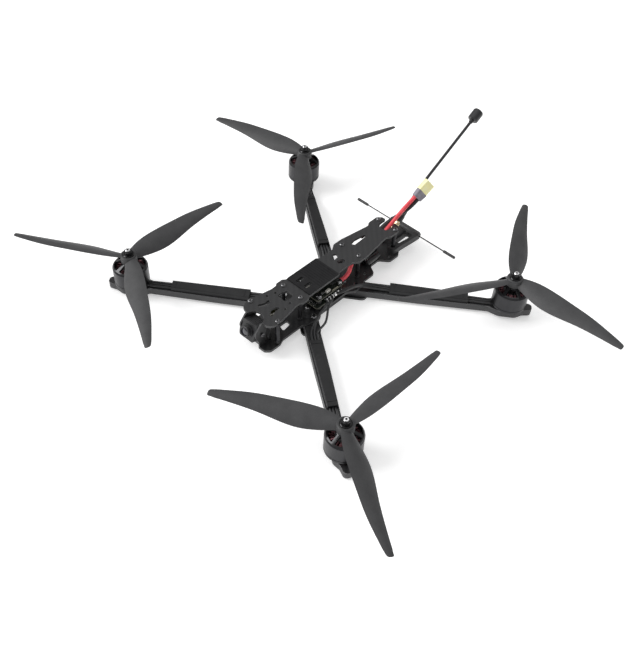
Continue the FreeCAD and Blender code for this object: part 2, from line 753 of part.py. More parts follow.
def propeller(name):
    """Three-bladed propeller; the leading edge faces the way it turns."""
    turn = corners[name][3]
    clockwise = corners[name][4]
    blade = Part.makeLoft([blade_section(*station) for station in blade_stations], True, False)
    hub = turned([(0, -4.8), (hub_r - 0.8, -4.8), (hub_r, -4.0), (hub_r, 3.2), (hub_r - 1.0, 4.2),
                  (6.2, 4.2), (6.2, 3.4), (0, 3.4)])
    prop = hub
    for k in range(3):
        one = blade.copy()
        one.rotate(V(0, 0, 0), Z, 120 * k)
        prop = prop.fuse(one)
    pockets = []
    for k in range(3):
        pocket = rod(1.3, -6, -1.5, 5.9, 0)
        pocket.rotate(V(0, 0, 0), Z, 60 + 120 * k)
        pockets.append(pocket)
    prop = prop.cut([rod(shaft_r, -10, 10)] + pockets)
    if clockwise:
        prop = prop.mirror(V(0, 0, 0), Y)
    prop.rotate(V(0, 0, 0), Z, turn)
    x, y = corners[name][:2]
    prop.translate(V(x, y, prop_z))
    return prop


def prop_nut(name):
    """Flanged hex lock nut on the shaft's thread."""
    x, y = corners[name][:2]
    z = prop_z + 3.4
    flange = turned([(shaft_r, z), (5.6, z), (5.6, z + 0.9), (4.9, z + 1.5), (shaft_r, z + 1.5)])
    flats = hexagon(8.0, z + 1.2, nut_top - 1.2)
    collar = turned([(shaft_r, nut_top - 1.4), (4.0, nut_top - 1.4), (3.6, nut_top), (shaft_r, nut_top)])
    bore = rod(shaft_r, z - 1, nut_top + 1)
    nut = flange.fuse([flats, collar]).cut(bore)
    nut.translate(V(x, y, 0))
    return nut


def at_motor(shape, name):
    out = shape.copy()
    x, y = corners[name][:2]
    out.translate(V(x, y, 0))
    return out


# the one wire that stands out from the body in a slack loop
slack_loop = [(36.4, -36.5, 13.8), (35.6, -30.0, 15.6), (32.0, -24.2, 18.0), (27.6, -18.6, 20.8),
              (24.6, -12.6, 23.4)]


def motor_wires():
    """Three wires per motor: out of the base, under the cover, up and onto the speed controller."""
    z = arm_z + arm_t + wire_r + 0.05
    pad_z = esc_z + board_t + wire_r
    pieces = []
    for name in corners:
        mx, my, angle = corners[name][:3]
        side = 1 if mx > 0 else -1
        end = 1 if my > 0 else -1
        placed = FreeCAD.Placement(V(mx, my, 0), FreeCAD.Rotation(Z, angle))
        for k in (-1, 0, 1):
            # lane across the arm: +1 is the one nearest the middle of the body
            off = -k * wire_pitch * side * end
            local = [(-wire_exit, off, z), (-32, off, z), (-60, off * 0.97, z), (-92, off, z),
                     (-122, off * 1.02, z),
                     (-142, off * 1.05, z + 1.2)]
            points = [placed.multVec(V(*p)) for p in local]
            points = [(p.x, p.y, p.z) for p in points]
            pad_y = pad_mid + end * (1.5 - k) * pad_pitch
            if name == "front_left" and k == 1:
                points += slack_loop
            else:
                points.append((side * (28.0 - 0.8 * k), end * (36.5 - 3.4 * k), 17.6 + 0.4 * k))
                points.append((side * (26.2 - 0.8 * k), end * (27.0 - 3.4 * k), 21.8))
            points.append((side * 23.6, pad_y + end * 4.6, pad_z + 1.7))
            points.append((side * pad_x, pad_y, pad_z))
            pieces.append(bent_tube(points, wire_r))
    return Part.makeCompound(pieces)


# ---------------------------------------------------------------- tail: antennas and battery lead

def antenna_mount():
    """Flexible printed yoke on the rear standoffs, with a bar for the T antenna and a ramp for the socket."""
    low = deck_z
    t = 7.0
    yoke = slab(mirrored([(18, 98.5, 4), (18, 110, 6), (mount_half, 137.5, 3), (mount_half, 144, 3)]), low, t)
    windows = []
    for side in (1, -1):
        windows.append(slab([(side * 8, 112, 2), (side * 13.5, 112, 2), (side * 16.2, 134.2, 2),
                             (side * 8, 134.2, 2)][::side], low - 1, t + 2))
    yoke = yoke.cut(windows)
    bar = Part.makeCylinder(3.4, 2 * mount_half, V(-mount_half, t_y, t_z), X)
    ramp = side_slab([(110, low + t - 0.5, 0), (134, low + t - 0.5, 0), (131, 25, 3), (122.7, 33.4, 0),
                      (117.5, 37.4, 0), (114.5, 33.5, 3)], -6.5, 13)
    yoke = yoke.fuse([bar, ramp])
    axis = pole_direction(0)
    cuts = [Part.makeCylinder(0.7, 70, V(-35, t_y, t_z), X)]
    cuts.append(Part.makeCylinder(3.2, 30, sma_origin - axis * 24, axis))
    cuts.append(aimed(block(-8, 8, -9, 9, -2.2, 30), sma_origin, axis, X))
    cuts += rods(standoff_r, low - 1, low + t + 3, both_sides([(12, 104)]))
    cuts.append(block(-9, 9, 95, 108.5, low - 1, low + t + 1))
    return yoke.cut(cuts)


def pole_direction(along):
    """Which way the long antenna points, that far along it from its socket."""
    turned_by = min(max((along - bend_start) / (bend_end - bend_start), 0), 1)
    a = math.radians(pole_up + (pole_out - pole_up) * turned_by)
    return V(0, math.cos(a), math.sin(a))


def pole_point(along):
    """Middle of the long antenna: straight, an even bend, then straight again."""
    here = sma_origin + pole_direction(0) * min(along, bend_start)
    bent = min(along, bend_end) - bend_start
    if bent > 0:
        half_turn = pole_direction(bend_start).getAngle(pole_direction(bend_start + bent)) / 2
        chord = pole_direction(bend_start) + pole_direction(bend_start + bent)
        chord.normalize()
        here = here + chord * (bent * math.sin(half_turn) / half_turn)
    return here + pole_direction(bend_end) * max(along - bend_end, 0)


def sma_connector():
    """Threaded bulkhead socket with its nut and washer."""
    barrel = turned([(0, -9), (3.1, -9), (3.1, -2.2), (4.6, -2.2), (4.6, -1.6), (3.1, -1.6), (3.1, 8.4),
                     (2.7, 9),
                     (0, 9)])
    flats = hexagon(8.0, -1.6, 1.2)
    return aimed(barrel.fuse(flats), sma_origin, pole_direction(0), X)


def antenna_pole():
    """Coupling nut, strain-relief sleeve and the long thin stem, which droops a little."""
    sleeve = turned([(0, 9), (3.1, 9), (3.1, 2.4), (4.4, 2.4), (4.6, 3), (4.6, 9.5), (4.2, 10), (3.9, 16),
                     (2.4, 19.5),
                     (2.0, 20.5), (0, 20.5)])
    sleeve = aimed(sleeve, sma_origin, pole_direction(0), X)
    middle = (bend_start + bend_end) / 2
    path = Part.Wire([Part.LineSegment(pole_point(14), pole_point(bend_start)).toShape(),
                      Part.Arc(pole_point(bend_start), pole_point(middle), pole_point(bend_end)).toShape(),
                      Part.LineSegment(pole_point(bend_end), pole_point(pole_length)).toShape()])
    section = Part.Wire(Part.makeCircle(pole_r, pole_point(14), pole_direction(0)))
    return sleeve.fuse(path.makePipeShell([section], True, False))


def antenna_head():
    """Moulded cylinder with a short neck that the stem ends in."""
    head = turned([(0, 0), (pole_r, 0), (pole_r, -2.4), (2.5, -2.4), (2.6, 0.3), (5.3, 0.7), (6.1, 2),
                   (6.1, 12.2),
                   (5.3, 13.5), (0, 13.8)])
    return aimed(head, pole_point(pole_length), pole_direction(pole_length), X)


def t_antenna_rods():
    rods_x = [Part.makeCylinder(0.7, t_reach - 1, V(side, t_y, t_z), X * side) for side in (1, -1)]
    return Part.makeCompound(rods_x)


def t_antenna_sleeves():
    pieces = []
    for side in (1, -1):
        sleeve = turned([(0, 0), (0.9, 0), (1.6, 0.8), (1.6, 15.3), (1.2, 16), (0, 16)])
        sleeve = aimed(sleeve, V(side * t_reach, t_y, t_z), X * side, Y)
        pieces.append(sleeve)
    return Part.makeCompound(pieces)


# battery plug: its axis, the direction across its two pins, and the middle of its rear sleeve
plug_axis = V(0.134, 0.813, 0.571)
plug_wide = V(0.496, 0.443, -0.747)
plug_at = V(8.5, 145.8, 67.2)
pin_half = 3.2
pin_r = 1.5
lead_half = 2.5            # the leads enter the sleeve side by side
boot_rear = -5.0
boot_front = 4.0
plug_front = 17.0


def plug_point(w, t):
    """Point w across the pins and t along the plug."""
    axis = V(plug_axis)
    axis.normalize()
    wide = V(plug_wide)
    wide = wide - axis * wide.dot(axis)
    wide.normalize()
    return plug_at + wide * w + axis * t


red_route = [(10, 13, 23.9), (11.8, 20.5, 25.2), (13.4, 27.5, 30.0), (9.2, 36.5, 34.8), (4.9, 46, 36.8),
             (4.6, 60, 37.2), (3.8, 76, 36.4), (3.4, 91, 36.8), (3.2, 104, 43.0), (3.9, 115, 50.2),
             (4.6, 124.5, 56.4)]
black_route = [(-6, 12, 23.9), (-6.2, 21, 25.0), (-5.4, 30, 30.4), (-4.6, 41, 35.2), (-4.2, 55, 37.0),
               (-4.0, 72, 36.6), (-3.7, 89, 36.4), (-3.0, 103, 41.8), (-0.6, 114, 46.0), (2.8, 122.5, 49.4),
               (5.9, 129.8, 53.4)]
plug_run = 8.0             # straight stretch of each lead where it enters the plug


def lead_points(route, w):
    """Whole route of a lead, ending square on the rear of the plug's sleeve."""
    tail = [plug_point(w, boot_rear - plug_run), plug_point(w, boot_rear)]
    return route + [(p.x, p.y, p.z) for p in tail]


def battery_lead_red():
    return bent_tube(lead_points(red_route, -lead_half), lead_r, "red lead")


def battery_lead_black():
    return bent_tube(lead_points(black_route, lead_half), lead_r, "black lead")


def lead_plug_boot():
    """Soft sleeve over the solder cups, a little narrower at the lead end."""
    rear = outline([(-6.1, -3.2, 2.4), (6.1, -3.2, 2.4), (6.1, 3.2, 2.4), (-6.1, 3.2, 2.4)])
    rear.translate(V(0, 0, boot_rear))
    front = outline([(-6.8, -3.7, 2.0), (6.8, -3.7, 2.0), (6.8, 3.7, 2.0), (-6.8, 3.7, 2.0)])
    front.translate(V(0, 0, boot_front))
    boot = Part.makeLoft([rear, front], True, True)
    return aimed(boot, plug_at, plug_axis, plug_wide)


def plug_outline(inset):
    """D-shaped plug outline: one narrow side has both corners cut off."""
    w = 6.8 - inset
    h = 3.6 - inset
    c = 2.3 - 0.5 * inset
    return [(-w, -h, 0.5), (w - c, -h, 0.5), (w, -h + c, 0.5), (w, h - c, 0.5), (w - c, h, 0.5), (-w, h, 0.5)]


def lead_plug_housing():
    shell = slab(plug_outline(0), boot_front, plug_front - boot_front)
    pocket = slab(plug_outline(1.0), boot_front + 3.5, 20)
    pins = rods(pin_r, boot_front - 1, boot_front + 4, both_sides([(pin_half, 0)]))
    return aimed(shell.cut([pocket] + pins), plug_at, plug_axis, plug_wide)


def lead_plug_contacts():
    """Two round pins, each split at its tip."""
    pieces = []
    for x in (pin_half, -pin_half):
        pin = turned([(0, boot_front), (pin_r, boot_front), (pin_r, plug_front - 1.8),
                      (1.0, plug_front - 1.2),
                      (0, plug_front - 1.2)])
        pin.translate(V(x, 0, 0))
        pin = pin.cut(block(x - 3, x + 3, -0.25, 0.25, boot_front + 5.5, plug_front))
        pieces.append(aimed(pin, plug_at, plug_axis, plug_wide))
    return Part.makeCompound(pieces)


# ---------------------------------------------------------------- build

def build():
    os.makedirs("parts", exist_ok=True)
    singles = [top_plate, main_plate, lower_plate, standoffs, top_screws, lower_screws, arm_bolts, lock_nuts,
               battery_pad, camera_housing, camera_lens, camera_glass, camera_screws, esc_board, esc_mosfets,
               fc_board, fc_components, stack_bolts, stack_spacers, video_transmitter, receiver, capacitor,
               motor_wires, antenna_mount, sma_connector, antenna_pole, antenna_head, t_antenna_rods,
               t_antenna_sleeves, battery_lead_red, battery_lead_black, lead_plug_boot, lead_plug_housing,
               lead_plug_contacts]
    for make in singles:
        save(make.__name__, make())
    save("camera_cheek_left", camera_cheek(1))
    save("camera_cheek_right", camera_cheek(-1))
    bell = motor_bell()
    for name in corners:
        save("arm_" + name, arm(name))
        save("arm_cover_" + name, arm_cover(name))
        save("motor_bell_" + name, at_motor(bell, name))
        save("propeller_" + name, propeller(name))
        save("prop_nut_" + name, prop_nut(name))
    base = motor_base()
    core = stator_core()
    coils = stator_coils()
    screws = motor_screws()
    save("motor_bases", Part.makeCompound([pose(base, name) for name in corners]))
    save("stator_cores", Part.makeCompound([at_motor(core, name) for name in corners]))
    save("stator_coils", Part.makeCompound([at_motor(coil, name) for name in corners for coil in coils]))
    save("motor_screws", Part.makeCompound([pose(screw, name) for name in corners for screw in screws]))


build()
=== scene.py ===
import math
import random

import bmesh
import bpy
from mathutils import Matrix, Vector


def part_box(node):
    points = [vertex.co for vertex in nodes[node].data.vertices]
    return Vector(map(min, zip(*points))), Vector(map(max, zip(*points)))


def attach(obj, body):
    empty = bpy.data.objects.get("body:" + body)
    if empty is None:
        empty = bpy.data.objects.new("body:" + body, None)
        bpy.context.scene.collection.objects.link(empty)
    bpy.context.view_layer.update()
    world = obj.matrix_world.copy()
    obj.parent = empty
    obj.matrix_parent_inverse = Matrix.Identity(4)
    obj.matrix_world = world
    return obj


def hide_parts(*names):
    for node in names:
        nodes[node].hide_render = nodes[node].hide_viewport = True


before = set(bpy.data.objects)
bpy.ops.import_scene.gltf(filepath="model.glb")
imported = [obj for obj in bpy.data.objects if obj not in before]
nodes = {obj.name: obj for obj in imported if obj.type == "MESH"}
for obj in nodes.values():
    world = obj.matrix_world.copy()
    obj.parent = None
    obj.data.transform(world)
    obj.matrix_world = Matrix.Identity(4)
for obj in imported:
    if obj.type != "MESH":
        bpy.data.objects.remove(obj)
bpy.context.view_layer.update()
scene = bpy.context.scene
MM = 0.001


# ---------------------------------------------------------------- camera

def aim_camera():
    """Camera off the front left corner, looking down at the body with a slight roll."""
    a = math.radians(40.689)
    e = math.radians(47.166)
    roll = math.radians(3.578)
    back = Vector((math.sin(a) * math.cos(e), -math.cos(a) * math.cos(e), math.sin(e)))
    level = Vector((math.cos(a), math.sin(a), 0))
    rise = back.cross(level)
    right = level * math.cos(roll) + rise * math.sin(roll)
    up = rise * math.cos(roll) - level * math.sin(roll)
    data = bpy.data.cameras.new("camera")
    data.sensor_width = 36
    data.lens = 46.96
    data.clip_start = 0.01
    data.clip_end = 50
    cam = bpy.data.objects.new("camera", data)
    scene.collection.objects.link(cam)
    eye = (0.41126, -0.47979, 0.64422)
    rows = [(right[i], up[i], back[i], eye[i]) for i in range(3)]
    cam.matrix_world = Matrix(rows + [(0, 0, 0, 1)])
    scene.camera = cam


aim_camera()


# ---------------------------------------------------------------- shader graph helper

class Graph:
    """A Principled material whose inputs are fed by a few short calls."""

    def __init__(self, name, **values):
        self.material = bpy.data.materials.new(name)
        self.material.use_nodes = True
        self.tree = self.material.node_tree
        self.bsdf = self.tree.nodes["Principled BSDF"]
        self.place = self.tree.nodes.new("ShaderNodeTexCoord").outputs["Object"]
        self.normal = self.tree.nodes.new("ShaderNodeNewGeometry").outputs["Normal"]
        for key, value in values.items():
            self.put(key.replace("_", " "), value)

    def put(self, socket, value):
        self.feed(self.bsdf.inputs[socket], value)

    def feed(self, socket, value):
        if isinstance(value, bpy.types.NodeSocket):
            self.tree.links.new(value, socket)
        elif socket.type == "RGBA":
            socket.default_value = (*value, 1.0)
        else:
            socket.default_value = value

    def math(self, operation, *values):
        node = self.tree.nodes.new("ShaderNodeMath")
        node.operation = operation
        for i, value in enumerate(values):
            self.feed(node.inputs[i], value)
        return node.outputs[0]

    def mix(self, fac, low, high):
        node = self.tree.nodes.new("ShaderNodeMix")
        node.data_type = "RGBA"
        self.feed(node.inputs[0], fac)
        self.feed(node.inputs[6], low)
        self.feed(node.inputs[7], high)
        return node.outputs[2]

    def blend(self, fac, low, high):
        """Number between low and high."""
        return self.math("MULTIPLY_ADD", fac, self.math("SUBTRACT", high, low), low)

    def span(self, value, low, high, out_low=0.0, out_high=1.0):
        """Clamped ramp."""
        node = self.tree.nodes.new("ShaderNodeMapRange")
        for i, v in enumerate((value, low, high, out_low, out_high)):
            self.feed(node.inputs[i], v)
        return node.outputs[0]

    def axes(self, vector=None):
        node = self.tree.nodes.new("ShaderNodeSeparateXYZ")
        self.feed(node.inputs[0], vector or self.place)
        return node.outputs[0], node.outputs[1], node.outputs[2]

    def stretched(self, x, y, z):
        node = self.tree.nodes.new("ShaderNodeVectorMath")
        node.operation = "MULTIPLY"
        self.feed(node.inputs[0], self.place)
        node.inputs[1].default_value = (x, y, z)
        return node.outputs[0]

    def noise(self, size_mm, detail=3.0, rough=0.5, vector=None):
        """Cloudy value about 0.5 whose features are size_mm across."""
        node = self.tree.nodes.new("ShaderNodeTexNoise")
        self.feed(node.inputs["Vector"], vector or self.place)
        node.inputs["Scale"].default_value = 1.0 / (size_mm * MM)
        node.inputs["Detail"].default_value = detail
        node.inputs["Roughness"].default_value = rough
        return node.outputs[0]

    def cells(self, size_mm):
        node = self.tree.nodes.new("ShaderNodeTexVoronoi")
        self.feed(node.inputs["Vector"], self.place)
        node.inputs["Scale"].default_value = 1.0 / (size_mm * MM)
        return node.outputs["Distance"]

    def wave(self, value, pitch_mm):
        """0..1 ripple along a length in metres."""
        turns = self.math("MULTIPLY", value, 2 * math.pi / (pitch_mm * MM))
        return self.math("MULTIPLY_ADD", self.math("SINE", turns), 0.5, 0.5)

    def bump(self, height, depth_mm, strength=1.0):
        node = self.tree.nodes.new("ShaderNodeBump")
        node.inputs["Strength"].default_value = strength
        node.inputs["Distance"].default_value = depth_mm * MM
        self.feed(node.inputs["Height"], height)
        self.put("Normal", node.outputs[0])


# ---------------------------------------------------------------- materials

def carbon(name, flat_axis):
    """Satin twill laminate; its cut edges show the layers and are paler, and the rounded edges between face
    and cut side carry a painted highlight.
    """
    g = Graph(name, Specular_IOR_Level=0.42)
    x, y, z = g.axes()
    across = {0: (y, z), 2: (x, y)}[flat_axis]
    tow = 2.0 * MM
    u = g.math("DIVIDE", across[0], tow)
    v = g.math("DIVIDE", across[1], tow)
    step = g.math("ADD", g.math("FLOOR", u), g.math("FLOOR", v))
    over = g.math("LESS_THAN", g.math("FLOORED_MODULO", step, 4.0), 2.0)
    along = g.math("SINE", g.math("MULTIPLY", u, math.pi))
    cross = g.math("SINE", g.math("MULTIPLY", v, math.pi))
    swell = g.math("ABSOLUTE", g.blend(over, along, cross))
    fibre = g.noise(0.5, 2.0, 0.6, g.stretched(1, 0.12, 1))
    cloud = g.noise(14, 3)
    weave = g.mix(over, (0.012, 0.012, 0.013), (0.022, 0.022, 0.023))
    weave = g.mix(g.math("MULTIPLY", fibre, 0.45), weave, (0.042, 0.042, 0.044))
    weave = g.mix(g.math("MULTIPLY", cloud, 0.25), weave, (0.009, 0.009, 0.010))
    n = g.axes(g.normal)[flat_axis]
    flat = g.math("ABSOLUTE", n)
    side = g.span(flat, 0.985, 0.90)
    # painted highlight: mask of the rounded edges, where the normal is half turned between the flat face
    # and the cut side
    corner = g.math("MULTIPLY", side, g.span(flat, 0.12, 0.35))
    layers = g.noise(0.22, 2.0, 0.7, g.stretched(*((8, 0.5, 0.5) if flat_axis == 0 else (0.5, 0.5, 8))))
    cut = g.mix(layers, (0.022, 0.022, 0.023), (0.085, 0.085, 0.088))
    colour = g.mix(side, weave, cut)
    # the rounded edges are painted pale grey as a painted highlight
    g.put("Base Color", g.mix(corner, colour, (0.34, 0.34, 0.345)))
    sheen = g.blend(over, 0.36, 0.46)
    g.put("Roughness", g.blend(side, g.math("MULTIPLY_ADD", cloud, 0.10, sheen), 0.62))
    g.put("Coat Weight", 0.12)
    g.put("Coat Roughness", 0.30)
    g.bump(g.math("ADD", swell, g.math("MULTIPLY", fibre, 0.5)), 0.035, 0.5)
    return g.material


def moulded(name, low, high, rough, grain_mm=0.35, depth_mm=0.02, metallic=0.0, cloud_mm=9.0, scuff=None,
            spec=0.5):
    """Plastic, rubber or coated metal with a fine grain, cloudy tone and rubbed high spots."""
    g = Graph(name, Metallic=metallic, Specular_IOR_Level=spec)
    cloud = g.noise(cloud_mm, 3)
    grain = g.noise(grain_mm, 2, 0.6)
    colour = g.mix(g.span(cloud, 0.3, 0.7), low, high)
    colour = g.mix(g.math("MULTIPLY", g.span(grain, 0.35, 0.75), 0.25), colour,
                   tuple(1.5 * c for c in high))
    if scuff:
        marks = g.span(g.noise(2.2, 5, 0.75, g.stretched(1, 0.25, 1)), 0.60, 0.72)
        colour = g.mix(g.math("MULTIPLY", marks, 0.35), colour, scuff)
    g.put("Base Color", colour)
    g.put("Roughness", g.math("MULTIPLY_ADD", grain, 0.14, g.blend(cloud, rough - 0.09, rough - 0.03)))
    g.bump(grain, depth_mm, 0.6)
    return g.material


def turned_metal(name, colour, dark, rough, pitch_mm=0.25, metallic=1.0):
    """Lathe-cut metal with fine rings up its length."""
    g = Graph(name, Metallic=metallic)
    z = g.axes()[2]
    rings = g.wave(z, pitch_mm)
    cloud = g.noise(3.0, 4)
    g.put("Base Color", g.mix(g.math("MULTIPLY_ADD", rings, 0.25, g.math("MULTIPLY", cloud, 0.6)), colour,
                              dark))
    g.put("Roughness", g.blend(cloud, rough - 0.06, rough + 0.10))
    g.bump(rings, 0.012, 0.4)
    return g.material


def bell_finish(name, centre):
    """Satin can with fine turned rings, gloss black spoked top, pale magnets inside and a bright shaft."""
    g = Graph(name)
    x, y, z = g.axes()
    dx = g.math("SUBTRACT", x, centre[0])
    dy = g.math("SUBTRACT", y, centre[1])
    r = g.math("SQRT", g.math("ADD", g.math("MULTIPLY", dx, dx), g.math("MULTIPLY", dy, dy)))
    rings = g.wave(z, 0.45)
    cloud = g.noise(5.0, 4, 0.6, g.stretched(1, 1, 0.25))
    can = g.mix(g.math("MULTIPLY_ADD", rings, 0.2, g.math("MULTIPLY", cloud, 0.6)),
                (0.065, 0.065, 0.068), (0.030, 0.030, 0.032))
    crown = g.span(z, 0.0347, 0.0352)
    shaft = g.math("LESS_THAN", r, 2.62 * MM)
    shaft = g.math("MULTIPLY", shaft, g.math("GREATER_THAN", z, 0.0418))
    shaft = g.math("MULTIPLY", shaft, g.math("GREATER_THAN", r, 1.12 * MM))
    magnets = g.math("MULTIPLY", g.math("LESS_THAN", r, 17.05 * MM), g.math("LESS_THAN", z, 0.0331))
    colour = g.mix(crown, can, g.mix(g.noise(2.5, 3), (0.012, 0.012, 0.013), (0.035, 0.035, 0.038)))
    colour = g.mix(magnets, colour, (0.42, 0.42, 0.43))
    g.put("Base Color", g.mix(shaft, colour, (0.92, 0.92, 0.93)))
    rough = g.blend(crown, g.blend(cloud, 0.28, 0.42), 0.16)
    g.put("Roughness", g.blend(shaft, rough, 0.18))
    g.put("Metallic", g.blend(g.math("MULTIPLY", crown, g.math("SUBTRACT", 1.0, shaft)), 1.0, 0.35))
    g.bump(g.math("MULTIPLY", rings, g.math("SUBTRACT", 1.0, crown)), 0.02, 0.35)
    return g.material


def laminated(name):
    g = Graph(name, Metallic=0.6)
    z = g.axes()[2]
    sheets = g.wave(z, 0.7)
    g.put("Base Color", g.mix(sheets, (0.02, 0.02, 0.021), (0.13, 0.13, 0.135)))
    g.put("Roughness", g.blend(g.noise(0.8), 0.35, 0.55))
    g.bump(sheets, 0.05, 0.6)
    return g.material


def board(name):
    """Dark olive solder mask over copper tracks, with small tinned pads."""
    g = Graph(name)
    x, y, _ = g.axes()
    bend = g.math("MULTIPLY", g.noise(6, 1), 0.0025)
    tracks = g.wave(g.math("ADD", g.math("ADD", x, y), bend), 1.6)
    tracks = g.span(tracks, 0.72, 0.80)
    patch = g.math("GREATER_THAN", g.noise(7, 2), 0.50)
    dots = g.math("LESS_THAN", g.cells(1.9), 0.16)
    colour = g.mix(g.math("MULTIPLY", tracks, patch), (0.012, 0.016, 0.012), (0.030, 0.038, 0.026))
    edge = g.span(g.math("ABSOLUTE", g.axes(g.normal)[2]), 0.8, 0.5)
    colour = g.mix(g.math("MULTIPLY", dots, 0.8), colour, (0.45, 0.44, 0.38))
    g.put("Base Color", g.mix(edge, colour, (0.11, 0.108, 0.085)))
    g.put("Metallic", g.math("MULTIPLY", dots, 0.6))
    g.put("Roughness", g.blend(edge, g.blend(g.noise(1.2), 0.26, 0.40), 0.7))
    g.bump(g.math("ADD", tracks, dots), 0.03, 0.4)
    return g.material


def layered_print(name):
    """Flexible printed plastic: fine layer lines and a satin surface."""
    g = Graph(name)
    z = g.axes()[2]
    lines = g.wave(z, 0.28)
    cloud = g.noise(8, 3)
    g.put("Base Color", g.mix(cloud, (0.020, 0.020, 0.021), (0.045, 0.045, 0.047)))
    g.put("Roughness", g.blend(lines, 0.42, 0.58))
    g.bump(g.math("ADD", lines, g.math("MULTIPLY", g.noise(1.5), 0.5)), 0.05, 0.7)
    return g.material


def glass_finish(name):
    """Coated front element, dark, with a faint blue and violet sheen painted into its colour as a painted
    reflection.
    """
    g = Graph(name, Roughness=0.03, IOR=1.6)
    facing = g.tree.nodes.new("ShaderNodeLayerWeight")
    facing.inputs[0].default_value = 0.35
    smear = g.noise(2.4, 3)
    # painted reflection: the colour turns bluer and paler where the surface faces away from the view
    colour = g.mix(facing.outputs["Facing"], (0.002, 0.002, 0.005), (0.010, 0.008, 0.030))
    g.put("Base Color", g.mix(g.math("MULTIPLY", smear, 0.2), colour, (0.004, 0.010, 0.020)))
    g.put("Coat Weight", 1.0)
    g.put("Coat Roughness", 0.02)
    return g.material


def blade_finish(name):
    """Matt fibre-filled plastic: fine speckle, faint flow marks and faint darker streaks."""
    g = Graph(name, Specular_IOR_Level=0.4)
    speckle = g.noise(0.55, 3, 0.7)
    flow = g.noise(16, 4, 0.6)
    streak = g.noise(3.0, 4, 0.6)
    colour = g.mix(g.span(flow, 0.3, 0.7), (0.040, 0.040, 0.042), (0.056, 0.056, 0.058))
    colour = g.mix(g.math("MULTIPLY", g.span(speckle, 0.55, 0.80), 0.5), colour, (0.12, 0.12, 0.123))
    colour = g.mix(g.math("MULTIPLY", g.span(streak, 0.55, 0.8), 0.3), colour, (0.028, 0.028, 0.029))
    g.put("Base Color", colour)
    g.put("Roughness", g.blend(speckle, 0.42, 0.60))
    g.bump(g.math("ADD", speckle, g.math("MULTIPLY", streak, 0.6)), 0.045, 0.7)
    return g.material


